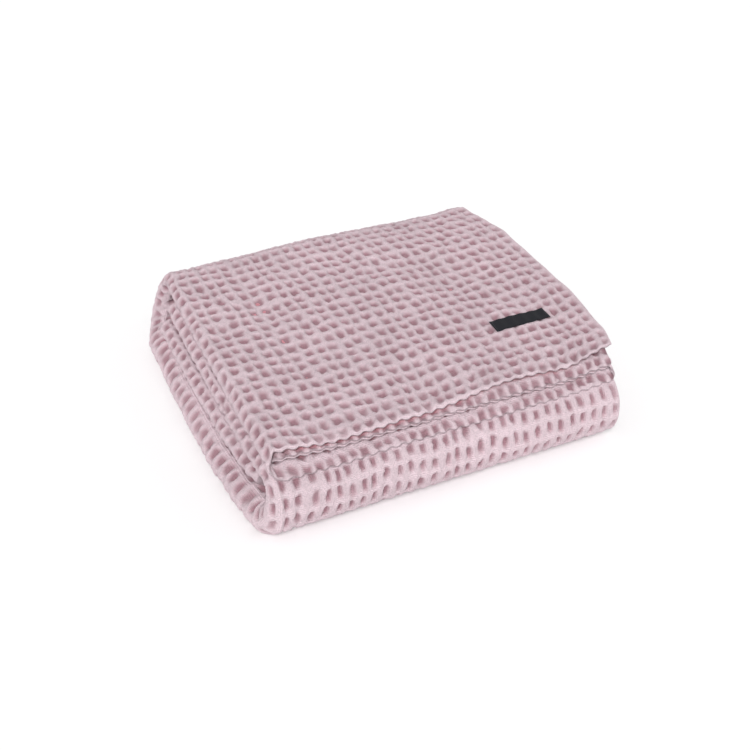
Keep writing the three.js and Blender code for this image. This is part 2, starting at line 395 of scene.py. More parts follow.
def waffle(u, v, drawn, sizes):
    """Height of the weave's relief under its ridge tops, and how deep in a pit each place is."""
    u = u + sizes.wander * WARP_ACROSS.wander(u, v)
    v = v + sizes.wander * WARP_ALONG.wander(u, v)
    in_cell_u = u - np.floor(u) - 0.5
    in_cell_v = v - np.floor(v) - 0.5
    off_u = sizes.pit_shift * WARP_ALONG.cell_value(u, v)
    off_v = sizes.pit_shift * LOFT.cell_value(u, v)
    across = np.abs(in_cell_u - off_u) * 2.0 * (1.0 + drawn)
    along = np.abs(in_cell_v - off_v) * 2.0
    reach = (across**PIT_SQUARENESS + along**PIT_SQUARENESS) ** (1.0 / PIT_SQUARENESS)
    reach = reach + sizes.ragged * LUMPS.wander(u + RIM_OFFSET, v)
    rim = sizes.pit_rim * (1.0 + RIM_CHANGE * LUMPS.cell_value(u, v))
    pit = 1.0 - smooth((reach - sizes.pit_floor) / (rim - sizes.pit_floor))
    own = 1.0 + sizes.unevenness * WARP_ACROSS.cell_value(u, v)
    square_u = (2.0 * in_cell_u) ** 2
    square_v = (2.0 * in_cell_v) ** 2
    saddle = (1.0 - square_v) * square_u + (1.0 - square_u) * square_v
    lumps = sizes.lumps * LUMPS.wander(u, v)
    height = -sizes.pit_depth * pit * own - sizes.ridge_dip * saddle + lumps
    return height, pit * own


# Where the inner skin's pits lie against the outer skin's ridges, across and along, in cells
INNER_SHIFT = (0.5, 0.2)


def edge_fade(u, v, at_edge, sizes):
    """Share of the relief that is left near the cut edges, where the hem flattens it."""
    near = np.minimum(np.minimum(u, SHEET_CELLS - u), v)
    return mix(at_edge, 1.0, smooth(near / sizes.hem_fade))


def crease_at(x, y, kind, sizes):
    """Depth of the main creases in mm, or how flat they press the relief, at a place in mm."""
    cell_x = (x - CORNER_X) / sizes.cell_across
    cell_y = (y - CORNER_Y) / sizes.cell_across
    total = 0.0
    for crease in CREASES:
        middle = np.interp(cell_y, crease["y"], crease["x"])
        near_end = smooth((cell_y - crease["y"][0]) / CREASE_END)
        far_end = smooth((crease["y"][-1] - cell_y) / CREASE_END)
        trough = np.exp(-(((cell_x - middle) / crease["wide"]) ** 2))
        total = total + crease[kind] * (near_end * far_end) * trough
    return total


# How fast the cut edge's wave dies out from row to row, and rows that the lifted edge takes up
SCALLOP_FADE = 1.6
CURL_ROWS = 0.8


def skin_points(rows, columns, side, weight, sizes):
    """Points of one skin of the cloth, in metres, with the pit depth of each."""
    r = {key: values[:, None] for key, values in rows.items()}
    c = {key: values[None, :] for key, values in columns.items()}
    cell = sizes.cell_across
    half = sizes.sheet_thickness / 2.0
    place = mix(r["left"], r["right"], c["across"])
    here = by_ply(columns, "name", lambda name: eased_table(FRONT_EDGES, "x", name, place))
    there = by_ply(columns, "next", lambda name: eased_table(FRONT_EDGES, "x", name, place))
    front = mix(here, there, c["blend"]) * cell
    scallop = sizes.edge_scallop * np.cos(2.0 * math.pi * c["u"]) * np.exp(-r["v"] * SCALLOP_FADE)
    back = BUNDLES[0]["end"]
    loose_y = mix(back, front, r["front"]) + scallop
    y = np.where(r["loose"] > 0, loose_y, r["y"] + r["lean"] * c["across"])
    z = np.where(r["loose"] > 0, r["z"] - eased_table(DROOP, "y", "drop", y), r["z"])
    uppermost = by_section(columns, lambda s: float(s["name"] == "first")) * (1.0 - c["blend"])
    z = z + r["loose"] * uppermost * sizes.edge_curl * np.exp(-((r["v"] / CURL_ROWS) ** 2))
    bulge = r["bulge"] * eased_table(RIGHT_BULGE, "y", "out", y / cell)
    edge = (r["right"] + bulge) * cell
    free = by_section(columns, has_free_edge)
    back_off = by_section(columns, lambda s: SET_BACK.get(s["name"], SET_BACK["fold"]))
    folded = edge - SET_BACK["fold"] - r["ply"] / 2.0 - half
    right = np.where(free > 0, edge - back_off, folded)
    left = r["left"] * cell + OUTER_PLY * r["ply"] + half
    straight = mix(left, right, c["across"])
    skin, pit = skin_height(r, c, side, weight, sizes)
    pressed = crease_at(CORNER_X + straight, CORNER_Y + y, "flat", sizes) * r["loose"]
    skin = mix(skin, half, pressed * weight)
    x = straight + c["fold"] * r["ply"] + side * c["normal_x"] * skin
    offset = c["level"] * r["ply"] + side * c["normal_level"] * skin
    point_x = CORNER_X + x
    point_y = CORNER_Y + y + offset * r["out_y"]
    point_z = z + offset * r["out_z"]
    points = np.stack(np.broadcast_arrays(point_x, point_y, point_z), axis=-1)
    points[..., 2] *= 1.0 + swell(points[..., 0], points[..., 1], sizes) / STACK_HEIGHT
    points[..., 2] = np.maximum(points[..., 2], 0.0)
    return millimetres(points), np.broadcast_to(pit, points.shape[:2])


def has_free_edge(section):
    """1 for a ply that ends in one of the sheet's two free edges."""
    return float("level" in section and section["name"] in ("first", "second"))


def over_open_gap(section):
    """1 for a ply whose inner skin lies over an open gap between loose plies."""
    return float(section["name"] in ("first", "third") and section["next"] == section["name"])


def skin_height(r, c, side, weight, sizes):
    """Distance of one skin from the middle of the cloth in mm, and its pit depth share."""
    half = sizes.sheet_thickness / 2.0
    outside = side > 0
    fade = edge_fade(c["u"], r["v"], sizes.hem_relief if outside else sizes.inner_hem_relief, sizes)
    off_u, off_v = (0.0, 0.0) if outside else INNER_SHIFT
    relief, pit = waffle(c["u"] + off_u, r["v"] + off_v, r["drawn"], sizes)
    skin = half + weight * fade * (sizes.ridge_lift + relief)
    skin = np.maximum(skin, sizes.deepest)
    if side < 0:
        skin = np.where(by_section(c, over_open_gap) * r["loose"] > 0, sizes.shrunk, skin)
        skin = np.where(weight > 0, skin, sizes.backing)
        other, _ = waffle(c["u"], r["v"], r["drawn"], sizes)
        under = np.maximum(half + fade * (sizes.ridge_lift + other), sizes.deepest)
        skin = np.maximum(skin, sizes.thinnest - under)
    hem = hem_roundness(r["v"], c["u"], sizes)
    return mix(sizes.hem_edge * half, skin, hem), pit * weight * fade


def hem_roundness(v, u, sizes):
    """How full the sheet is near its cut edges: 0 at the very edge and 1 a little way in."""
    near = np.minimum(np.minimum(u, SHEET_CELLS - u), v) / sizes.hem_round
    near = np.clip(near, 0.0, 1.0)
    return np.sqrt(1.0 - (1.0 - near) ** 2)


def swell(x, y, sizes):
    """Height of the soft humps and hollows over a point of the stack, in mm."""
    cell_x = (x - CORNER_X) / sizes.cell_across
    cell_y = (y - CORNER_Y) / sizes.cell_across
    rise = sizes.loft * LOFT.wander(cell_x, cell_y)
    for hump in SWELLS:
        dx = (cell_x - hump["x"]) / hump["wide"]
        dy = (cell_y - hump["y"]) / hump["deep"]
        rise = rise + hump["rise"] * np.exp(-(dx * dx + dy * dy))
    return rise - crease_at(x, y, "deep", sizes)


# Steps a waffle cell on each section across the sheet, in the order of SECTIONS
SEEN_OUTSIDE = (8, 8, 9, 7, 0.3, 6, 0.3, 4, 0.3)
SEEN_INSIDE = (1, 2, 5, 2, 0.3, 4, 0.3, 4, 0.3)
LOOSE_OUTSIDE = (8, 8, 9, 7, 5, 6, 5, 6, 5)
LOOSE_INSIDE = (8, 8, 8, 8, 8, 6, 5, 6, 8)
TUCKED_OUTSIDE = (0.3, 7, 9, 7, 0.3, 6, 0.3, 4, 0.3)
TUCKED_INSIDE = (0.3, 2, 5, 2, 0.3, 4, 0.3, 4, 0.3)

# Share of the waffle relief on each section: everywhere, where it is seen, or nowhere
ALL_SECTIONS = (1, 1, 1, 1, 1, 1, 1, 1, 1)
FACE_AND_FOLD = (1, 1, 1, 1, 0, 0.4, 0, 0, 0)
BY_THE_FOLD = (0, 1, 1, 1, 0, 0.4, 0, 0, 0)
NO_SECTION = (0, 0, 0, 0, 0, 0, 0, 0, 0)

# Sections of the outer skin that lie in the dark between plies, further in than the left side, where
# shade is painted
BEHIND_THE_FACE = (0, 0, 0, 1, 1, 1, 1, 1, 1)
BEHIND_THE_FOLD = (1, 1, 0, 1, 1, 1, 1, 1, 1)


def ring_columns(outside, inside):
    """The closed outline of one row: its outer skin, then its inner skin on the way back."""
    outer = width_columns(outside)
    inner = width_columns(inside)
    backwards = {key: values[::-1] for key, values in inner.items()}
    return outer, backwards


def section_weight(columns, weights):
    """Waffle relief of each column, from its section."""
    return np.array([float(weights[int(number)]) for number in columns["section"]])[None, :]


# The ply that covers each ply's upward face
COVERED_BY = {"first": "first", "second": "first", "third": "second", "fourth": "third"}

# Rows over which the painted shade deepens behind a covering ply's front edge
DARK_ROWS = 0.4


def tucked_in(rows, columns, weight, facing_up, sizes):
    """How much painted shade each place gets for lying in the dark between plies: 0 in the open and 1
    well inside.
    """
    place = mix(rows["left"][:, None], rows["right"][:, None], columns["across"][None, :])

    def bare(name):
        """Rows of a ply's upward face that its covering ply leaves open."""
        cover = eased_table(FRONT_EDGES, "x", COVERED_BY[name], place)
        return np.maximum(cover - eased_table(FRONT_EDGES, "x", name, place), 0.0)

    open_rows = facing_up * by_ply(columns, "name", bare) * sizes.cell_across / sizes.cell_along
    from_left = smooth(columns["inwards"][None, :] / sizes.dark_cells)
    from_right = smooth((PLY_CELLS - columns["inwards"][None, :]) / sizes.dark_cells)
    from_front = smooth((rows["v"][:, None] - open_rows) / DARK_ROWS)
    return weight * from_left * from_right * from_front


def block_points(block, sizes):
    """Points, marks and weave coordinates of a block of rows, each row a closed ring."""
    rows = block["rows"]
    outer, inner = ring_columns(block["outside"], block["inside"])
    relief = section_weight(outer, block["relief"][0])
    seen, seen_pit = skin_points(rows, outer, 1.0, relief, sizes)
    relief = section_weight(inner, block["relief"][1])
    under, under_pit = skin_points(rows, inner, -1.0, relief, sizes)
    points = np.concatenate([seen, under], axis=1)
    pits = np.concatenate([seen_pit, under_pit], axis=1)
    # Painted shade between plies: the covered, tucked-in parts of both skins are marked for the reddish
    # shade colour.
    upward = by_section(outer, lambda s: float(s["name"] == "third"))
    dark = tucked_in(rows, outer, section_weight(outer, block["dark"]), upward, sizes)
    upward = by_section(inner, lambda s: float(s["name"] in ("second", "fourth")))
    under_dark = tucked_in(rows, inner, 1.0, upward, sizes)
    marks = np.stack([pits, np.concatenate([dark, under_dark], axis=1)], axis=-1)
    shift = np.concatenate([0.0 * outer["u"], 0.0 * inner["u"] + 0.5])
    u = np.concatenate([outer["u"], inner["u"]]) + shift
    u = np.broadcast_to(u[None, :], pits.shape)
    v = rows["v"][:, None] + shift[None, :]
    return points, marks, np.stack([u, v], axis=-1), len(outer["u"])


def block_normals(points):
    """Outward direction at each point of a block of rings, from its neighbours."""
    around = np.roll(points, -1, axis=1) - np.roll(points, 1, axis=1)
    along = np.gradient(points, axis=0)
    normal = np.cross(along, around)
    return normal / np.maximum(np.linalg.norm(normal, axis=-1, keepdims=True), 1e-12)


def zip_rows(low, low_at, high, high_at):
    """Triangles between two lines of points with different spacing, low and high by number."""
    faces = []
    i, j = 0, 0
    while i + 1 < len(low) or j + 1 < len(high):
        take_low = j + 1 >= len(high)
        if i + 1 < len(low) and j + 1 < len(high):
            take_low = low_at[i + 1] <= high_at[j + 1]
        if take_low:
            faces.append((low[i], low[i + 1], high[j]))
            i += 1
        else:
            faces.append((low[i], high[j + 1], high[j]))
            j += 1
    return faces


def ring_halves(first, outer_count, ring_count):
    """Point numbers of a ring's outer skin and of its inner skin, both from the first ply's edge."""
    outer = list(range(first, first + outer_count))
    inner = list(range(first + ring_count - 1, first + outer_count - 1, -1))
    return outer, inner


def sheet_mesh(name, blocks, sizes):
    """One closed piece of the cloth from blocks of rows that follow each other."""
    points, marks, weave, normals, faces = [], [], [], [], []
    first = 0
    last_ring = None
    closing = []
    for block in blocks:
        spot, mark, uv, outer_count = block_points(block, sizes)
        normal = block_normals(spot)
        keep = slice(block["before"], spot.shape[0] - block["after"])
        spot, mark, uv, normal = spot[keep], mark[keep], uv[keep], normal[keep]
        count, ring = spot.shape[:2]
        number = first + np.arange(count * ring).reshape(count, ring)
        beside = np.roll(number, -1, axis=1)
        quads = np.stack([number[:-1], number[1:], beside[1:], beside[:-1]], axis=-1)
        faces.extend(map(tuple, quads.reshape(-1, 4)))
        outer, inner = ring_halves(first, outer_count, ring)
        at = {"outer": uv[0, :outer_count, 0], "inner": uv[0, outer_count:, 0][::-1] - 0.5}
        start = {"outer": outer, "inner": inner, "at": at}
        if last_ring is None:
            first_face = len(faces)
            faces.extend(cap(start, False))
            closing.extend(range(first_face, len(faces)))
        else:
            faces.extend(join_rings(last_ring, start))
        final = first + (count - 1) * ring
        outer, inner = ring_halves(final, outer_count, ring)
        last_ring = {"outer": outer, "inner": inner, "at": at}
        points.append(spot.reshape(-1, 3))
        marks.append(mark.reshape(-1, 2))
        weave.append(uv.reshape(-1, 2))
        normals.append(normal.reshape(-1, 3))
        first += count * ring
    first_face = len(faces)
    faces.extend(cap(last_ring, True))
    closing.extend(range(first_face, len(faces)))
    piece = new_mesh(name, np.concatenate(points), faces, np.concatenate(weave))
    set_normals(piece.data, np.concatenate(normals), closing)
    mark_points(piece.data, np.concatenate(marks))
    return piece


def set_normals(mesh, normals, closing):
    """Smooth normals on the skins, and each closing face's own normal at its corners."""
    corners = np.zeros(len(mesh.loops), dtype=np.int32)
    mesh.loops.foreach_get("vertex_index", corners)
    at_corner = normals[corners]
    for number in closing:
        face = mesh.polygons[number]
        at_corner[face.loop_start : face.loop_start + face.loop_total] = face.normal
    mesh.normals_split_custom_set(at_corner.tolist())


def cap(ring, at_end):
    """Triangles that close a ring's cut between its outer and inner skin."""
    faces = zip_rows(ring["outer"], ring["at"]["outer"], ring["inner"], ring["at"]["inner"])
    if at_end:
        return [face[::-1] for face in faces]
    return faces


def join_rings(low, high):
    """Triangles between two rings with different spacing, and the strips at their cut edges."""
    outer = zip_rows(low["outer"], low["at"]["outer"], high["outer"], high["at"]["outer"])
    faces = [face[::-1] for face in outer]
    faces.extend(zip_rows(low["inner"], low["at"]["inner"], high["inner"], high["at"]["inner"]))
    faces.append((low["outer"][-1], high["outer"][-1], high["inner"][-1], low["inner"][-1]))
    faces.append((low["inner"][0], high["inner"][0], high["outer"][0], low["outer"][0]))
    return faces


def new_mesh(name, points, faces, weave=None):
    """Smooth object from points in metres and faces, with weave coordinates where it has them."""
    mesh = bpy.data.meshes.new(name)
    mesh.from_pydata(points.tolist(), [], faces)
    mesh.update()
    if weave is not None:
        layer = mesh.uv_layers.new(name="Weave")
        corners = np.zeros(len(mesh.loops), dtype=np.int32)
        mesh.loops.foreach_get("vertex_index", corners)
        layer.data.foreach_set("uv", weave[corners].astype(np.float32).ravel())
    mesh.polygons.foreach_set("use_smooth", np.ones(len(mesh.polygons), dtype=bool))
    piece = bpy.data.objects.new(name, mesh)
    bpy.context.scene.collection.objects.link(piece)
    return piece


def mark_points(mesh, marks):
    """Write how deep in a pit and how far between plies each point is, the masks of the painted shade."""
    for column, name in enumerate(("pit", "dark")):
        mark = mesh.attributes.new(name, "FLOAT", "POINT")
        mark.data.foreach_set("value", np.ascontiguousarray(marks[:, column], dtype=np.float32))


def all_rows(sizes, fine):
    """Every row of the sheet, and where each straight run and turn starts."""
    parts, starts = [], [0]
    v = 0.0
    for index, bundle in enumerate(BUNDLES):
        reach = abs(bundle["end"] - bundle["start"]) / sizes.cell_along
        parts.append(length_run(bundle, int(round(reach * fine)), v, float(index == 0), sizes))
        v += reach
        starts.append(starts[-1] + len(parts[-1]["y"]) - 1)
        if index < len(TURNS):
            turn = length_turn(index, TURNS[index]["rows"] * fine, v, sizes)
            v += TURNS[index]["rows"]
            parts.append(turn)
            starts.append(starts[-1] + len(turn["y"]) - 1)
    return join_rows(parts), starts


def stretch(rows, low, high, kind):
    """A block of rows from low to high with the spacing and relief that it needs."""
    total = len(rows["y"])
    before = 1 if low > 0 else 0
    after = 1 if high < total - 1 else 0
    chosen = np.arange(low - before, high + after + 1)
    return {**kind, "rows": pick_rows(rows, chosen), "before": before, "after": after}


# Kinds of block. outside, inside: steps across each skin. relief: outer and inner skin's waffle.
# dark: sections of the outer skin between plies, which get painted shade.
LOOSE = {
    "outside": LOOSE_OUTSIDE,
    "inside": LOOSE_INSIDE,
    "relief": (ALL_SECTIONS, ALL_SECTIONS),
    "dark": BEHIND_THE_FACE,
}
SEEN = {
    "outside": SEEN_OUTSIDE,
    "inside": SEEN_INSIDE,
    "relief": (FACE_AND_FOLD, NO_SECTION),
    "dark": BEHIND_THE_FACE,
}
TUCKED = {
    "outside": TUCKED_OUTSIDE,
    "inside": TUCKED_INSIDE,
    "relief": (BY_THE_FOLD, NO_SECTION),
    "dark": BEHIND_THE_FOLD,
}


# At the seam of two pieces both skins have the same columns, so that no closing face crosses a pit.
SEAM = {**SEEN, "inside": SEEN_OUTSIDE}
TUCKED_SEAM = {**TUCKED, "inside": TUCKED_OUTSIDE}

# Rows from the loose front edges that are drawn finely on every ply
LOOSE_ROWS = 2.5


def cloth_blocks(sizes):
    """The three pieces of the sheet, each as blocks of rows."""
    fine = sizes.steps_a_row
    rows, starts = all_rows(sizes, fine)
    loose = int(LOOSE_ROWS * fine)
    _, back, bottom, wall, second, _, _, end = starts
    plans = {
        "bedspread_top": ((0, loose, LOOSE), (loose + 1, back - 2, SEEN), (back - 1, back, SEAM)),
        "bedspread_back": (
            (back, back + 1, SEAM),
            (back + 2, bottom, SEEN),
            (bottom + 1, wall - 2, TUCKED),
            (wall - 1, wall, TUCKED_SEAM),
        ),
        "bedspread_front": (
            (wall, wall + 1, SEAM),
            (wall + 2, second, SEEN),
            (second + 1, end - 2, TUCKED),
            (end - 1, end, TUCKED_SEAM),
        ),
    }
    return {name: [stretch(rows, *block) for block in plan] for name, plan in plans.items()}


def linear(hex_colour):
    """Linear red, green, blue and full opacity from an sRGB hex colour such as "e4d5dc"."""
    parts = [int(hex_colour[i : i + 2], 16) / 255.0 for i in (0, 2, 4)]
    bent = [p / 12.92 if p <= 0.04045 else ((p + 0.055) / 1.055) ** 2.4 for p in parts]
    return (*bent, 1.0)


def add_node(tree, kind, settings=None, values=None, links=None):
    """New node with its settings, socket values and incoming links."""
    node = tree.nodes.new(kind)
    for name, value in (settings or {}).items():
        setattr(node, name, value)
    for socket, value in (values or {}).items():
        node.inputs[socket].default_value = value
    for socket, source in (links or {}).items():
        tree.links.new(source, node.inputs[socket])
    return node


def new_material(name):
    """Empty node material with its output node."""
    material = bpy.data.materials.new(name)
    material.use_nodes = True
    material.node_tree.nodes.clear()
    output = add_node(material.node_tree, "ShaderNodeOutputMaterial")
    return material, material.node_tree, output


def waffle_cotton(sizes, colours):
    """Honeycomb woven cotton: matt fuzzy ridges, painted shade that makes the pits darker and redder,
    painted reddish shade between plies, soft pile sheen.
    """
    material, tree, output = new_material("honeycomb woven cotton")
    weave = add_node(tree, "ShaderNodeUVMap", {"uv_map": "Weave"})
    parts = add_node(tree, "ShaderNodeSeparateXYZ", links={0: weave.outputs[0]})
    u, v = parts.outputs[0], parts.outputs[1]
    centre_u = add_node(tree, "ShaderNodeMath", {"operation": "PINGPONG"}, {1: 0.5}, {0: u})
    centre_v = add_node(tree, "ShaderNodeMath", {"operation": "PINGPONG"}, {1: 0.5}, {0: v})
    nearest = {0: centre_u.outputs[0], 1: centre_v.outputs[0]}
    beside = add_node(tree, "ShaderNodeMath", {"operation": "LESS_THAN"}, links=nearest)
    # Yarns lie about 0.8 mm apart in a real waffle. They are drawn 1.25 mm apart so that they show.
    yarns = sizes.cell_across / sizes.yarn_spacing
    turn = 2.0 * math.pi * yarns
    line_u = add_node(tree, "ShaderNodeMath", {"operation": "MULTIPLY"}, {1: turn}, {0: u})
    line_v = add_node(tree, "ShaderNodeMath", {"operation": "MULTIPLY"}, {1: turn}, {0: v})
    wave_u = add_node(tree, "ShaderNodeMath", {"operation": "SINE"}, links={0: line_u.outputs[0]})
    wave_v = add_node(tree, "ShaderNodeMath", {"operation": "SINE"}, links={0: line_v.outputs[0]})
    choice = {0: beside.outputs[0], 2: wave_v.outputs[0], 3: wave_u.outputs[0]}
    yarn = add_node(tree, "ShaderNodeMix", {"data_type": "FLOAT"}, links=choice)
    # Loose fibres: clumps about 2 mm wide, as coarse as the render can show.
    place = add_node(tree, "ShaderNodeTexCoord")
    here = {"Vector": place.outputs["Object"]}
    clump = {"Scale": 1.0 / millimetres(sizes.fuzz_size), "Detail": 4.0, "Roughness": 0.7}
    fuzz = add_node(tree, "ShaderNodeTexNoise", values=clump, links=here)
    # Wash and wear: patches about 70 mm wide, a touch paler or deeper.
    patch = {"Scale": 1.0 / millimetres(sizes.patch_size), "Detail": 2.0}
    patches = add_node(tree, "ShaderNodeTexNoise", values=patch, links=here)
    pit = add_node(tree, "ShaderNodeAttribute", {"attribute_name": "pit"})
    dark = add_node(tree, "ShaderNodeAttribute", {"attribute_name": "dark"})
    # The painted pit shade spreads a little unevenly, because loose fibres bridge its rim.
    uneven = {"From Min": 0.3, "From Max": 0.7, "To Min": -0.18, "To Max": 0.18}
    spread = add_node(tree, "ShaderNodeMapRange", values=uneven, links={"Value": fuzz.outputs["Fac"]})
    depth = {0: pit.outputs["Fac"], 1: spread.outputs[0]}
    deep = add_node(tree, "ShaderNodeMath", {"operation": "ADD", "use_clamp": True}, links=depth)
    # Painted shade: the deeper a place lies in a pit, the more the ridge colour turns to the darker,
    # redder pit colour.
    cotton_colours = {6: linear(colours.ridge), 7: linear(colours.pit)}
    pit_shade_mix = add_node(tree, "ShaderNodeMix", {"data_type": "RGBA"}, cotton_colours, {0: deep.outputs[0]})
    # Painted shade between plies: places marked dark take the reddish between colour.
    between = {0: dark.outputs["Fac"], 6: pit_shade_mix.outputs[2]}
    shaded = add_node(tree, "ShaderNodeMix", {"data_type": "RGBA"}, {7: linear(colours.between)}, between)
    fibres = {"From Min": 0.3, "From Max": 0.7, "To Min": 0.78, "To Max": 1.2}
    light = add_node(tree, "ShaderNodeMapRange", values=fibres, links={"Value": fuzz.outputs["Fac"]})
    wear = {"From Min": 0.3, "From Max": 0.7, "To Min": 0.96, "To Max": 1.04}
    worn = add_node(tree, "ShaderNodeMapRange", values=wear, links={"Value": patches.outputs["Fac"]})
    two = {0: light.outputs[0], 1: worn.outputs[0]}
    both = add_node(tree, "ShaderNodeMath", {"operation": "MULTIPLY"}, links=two)
    scaled = {0: shaded.outputs[2], "Scale": both.outputs[0]}
    shade = add_node(tree, "ShaderNodeVectorMath", {"operation": "SCALE"}, links=scaled)
    raised = {0: yarn.outputs[0]}
    yarn_part = add_node(tree, "ShaderNodeMath", {"operation": "MULTIPLY"}, {1: sizes.yarn_share}, raised)
    added = {0: yarn_part.outputs[0], 1: fuzz.outputs["Fac"]}
    height = add_node(tree, "ShaderNodeMath", {"operation": "ADD"}, links=added)
    pile = {"Strength": 0.8, "Distance": millimetres(sizes.pile)}
    bump = add_node(tree, "ShaderNodeBump", values=pile, links={"Height": height.outputs[0]})
    finish = {
        "Roughness": 0.95,
        "IOR": 1.47,
        "Specular IOR Level": 0.15,
        "Sheen Weight": 0.25,
        "Sheen Roughness": 0.6,
        "Sheen Tint": linear(colours.ridge),
    }
    coloured = {"Base Color": shade.outputs[0], "Normal": bump.outputs[0]}
    cotton = add_node(tree, "ShaderNodeBsdfPrincipled", values=finish, links=coloured)
    tree.links.new(cotton.outputs[0], output.inputs["Surface"])
    return material


# Scale that gives a wave texture one band a unit of length
WAVE_SCALE = 2.0 * math.pi / 20.0


def label_tape(sizes, colours):
    """Woven polyester tape: near black, faintly ribbed along its length, with a dull silky gloss."""
    material, tree, output = new_material("woven charcoal tape")
    place = add_node(tree, "ShaderNodeTexCoord")
    # Ribs of a satin tape are about 0.25 mm apart. They are drawn 0.9 mm apart so that they show.
    bands = {"wave_type": "BANDS", "bands_direction": "Y"}
    scale = WAVE_SCALE / millimetres(sizes.rib_spacing)
    spacing = {"Scale": scale, "Distortion": 0.6, "Detail": 1.0}
    ribs = add_node(tree, "ShaderNodeTexWave", bands, spacing, {"Vector": place.outputs["Object"]})
    tape_colours = {6: linear(colours.label), 7: linear(colours.label_rib)}
    shade = add_node(tree, "ShaderNodeMix", {"data_type": "RGBA"}, tape_colours, {0: ribs.outputs["Fac"]})
    ridge = {"Strength": 0.4, "Distance": millimetres(0.2)}
    bump = add_node(tree, "ShaderNodeBump", values=ridge, links={"Height": ribs.outputs["Fac"]})
    finish = {"Roughness": 0.7, "IOR": 1.5, "Specular IOR Level": 0.25, "Sheen Weight": 0.04}
    coloured = {"Base Color": shade.outputs[2], "Normal": bump.outputs[0]}
    tape = add_node(tree, "ShaderNodeBsdfPrincipled", values=finish, links=coloured)
    tree.links.new(tape.outputs[0], output.inputs["Surface"])
    return material


def sewing_thread(colours):
    """Spun sewing thread: matt and a little paler than the tape it holds."""
    material, tree, output = new_material("spun sewing thread")
    finish = {"Base Color": linear(colours.thread), "Roughness": 0.8, "IOR": 1.5}
    thread = add_node(tree, "ShaderNodeBsdfPrincipled", values=finish)
    tree.links.new(thread.outputs[0], output.inputs["Surface"])
    return material


def pale_board(colours):
    """Painted board: flat white, no gloss, so the light stays soft."""
    material, tree, output = new_material("matt white painted board")
    finish = {"Base Color": linear(colours.floor), "Roughness": 0.9, "Specular IOR Level": 0.1}
    board = add_node(tree, "ShaderNodeBsdfPrincipled", values=finish)
    tree.links.new(board.outputs[0], output.inputs["Surface"])
    return material


def finish_piece(piece, material, node):
    """Dress a piece, let it ride on the body and stand for its solid."""
    piece.data.materials.append(material)
    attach(piece, "root")
    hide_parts(node)
    return piece


# How high the tape ripples over the ridges, in mm
LABEL_RIPPLE = 0.35

# Points along and across the tape. Its rounded border in mm, and its thickness there as a share.
LABEL_POINTS = (73, 22)
LABEL_BORDER = 0.9
LABEL_THINNEST = 0.3

# Fray of the tape's border: swing and reach in mm, and turns of its wave along the tape in radians
FRAY_SWING = 0.12
FRAY_REACH = 0.2
FRAY_WAVE = 190.0

# Stitches: places of the two rows along the label, and half a stitch's length as a share of its pitch
STITCH_ENDS = (0.028, 0.972)
STITCH_HALF = 0.32

# Stitches: half width at the middle over that at the tips, and the tips, in mm. flat: height as a share.
STITCH_SWELL = 0.26
STITCH_TIP = 0.05
STITCH_FLAT = 0.6
STITCH_RINGS = 7
STITCH_SIDES = 6


def label_point(along, across, rise, sizes):
    """Point over the top face under a share along and across the label, in mm."""
    turn = sizes.label_turn
    dx = (along - 0.5) * sizes.label_long
    dy = (across - 0.5) * sizes.label_short
    x = CORNER_X + sizes.label_x * sizes.cell_across + dx * math.cos(turn) - dy * math.sin(turn)
    y = CORNER_Y + sizes.label_y * sizes.cell_across + dx * math.sin(turn) + dy * math.cos(turn)
    top = BUNDLES[0]
    face = top["middle"] + OUTER_PLY * top["ply"] + sizes.sheet_thickness / 2.0
    ripple = LABEL_RIPPLE * np.cos(2.0 * math.pi * (x - CORNER_X) / sizes.cell_across)
    z = face * (1.0 + swell(x, y, sizes) / STACK_HEIGHT)
    return x, y, z + sizes.label_above + ripple + rise


def build_label(sizes):
    """Thin tape with soft edges that follows the ridges under it."""
    along = np.linspace(0.0, 1.0, LABEL_POINTS[0])[None, :]
    across = np.linspace(0.0, 1.0, LABEL_POINTS[1])[:, None]
    from_ends = np.minimum(along, 1.0 - along) * sizes.label_long
    edge = np.minimum(from_ends, np.minimum(across, 1.0 - across) * sizes.label_short)
    from_border = 1.0 - np.clip(edge / LABEL_BORDER, 0.0, 1.0)
    round_edge = mix(LABEL_THINNEST, 1.0, np.sqrt(1.0 - from_border**2))
    thick = sizes.label_thickness
    fray = FRAY_SWING * np.sin(along * FRAY_WAVE) * (edge < FRAY_REACH)
    over = thick * (0.5 + 0.5 * round_edge)
    under = thick * (0.5 - 0.5 * round_edge)
    upper = np.stack(np.broadcast_arrays(*label_point(along, across, over, sizes)), -1)
    lower = np.stack(np.broadcast_arrays(*label_point(along, across, under, sizes)), -1)
    upper[..., 1] += fray
    lower[..., 1] += fray
    rows, columns = upper.shape[:2]
    count = rows * columns
    number = np.arange(count).reshape(rows, columns)
    faces = []
    for i in range(rows - 1):
        for j in range(columns - 1):
            a, b, c, d = (int(number[k]) for k in ((i, j), (i, j + 1), (i + 1, j + 1), (i + 1, j)))
            faces.append((a, b, c, d))
            faces.append((count + a, count + d, count + c, count + b))
    border = [*number[0, :-1], *number[:-1, -1], *number[-1, :0:-1], *number[:0:-1, 0]]
    for here, there in zip(border, border[1:] + border[:1]):
        faces.append((int(here), count + int(here), count + int(there), int(there)))
    points = millimetres(np.concatenate([upper.reshape(-1, 3), lower.reshape(-1, 3)]))
    return new_mesh("label_tape", points, faces)


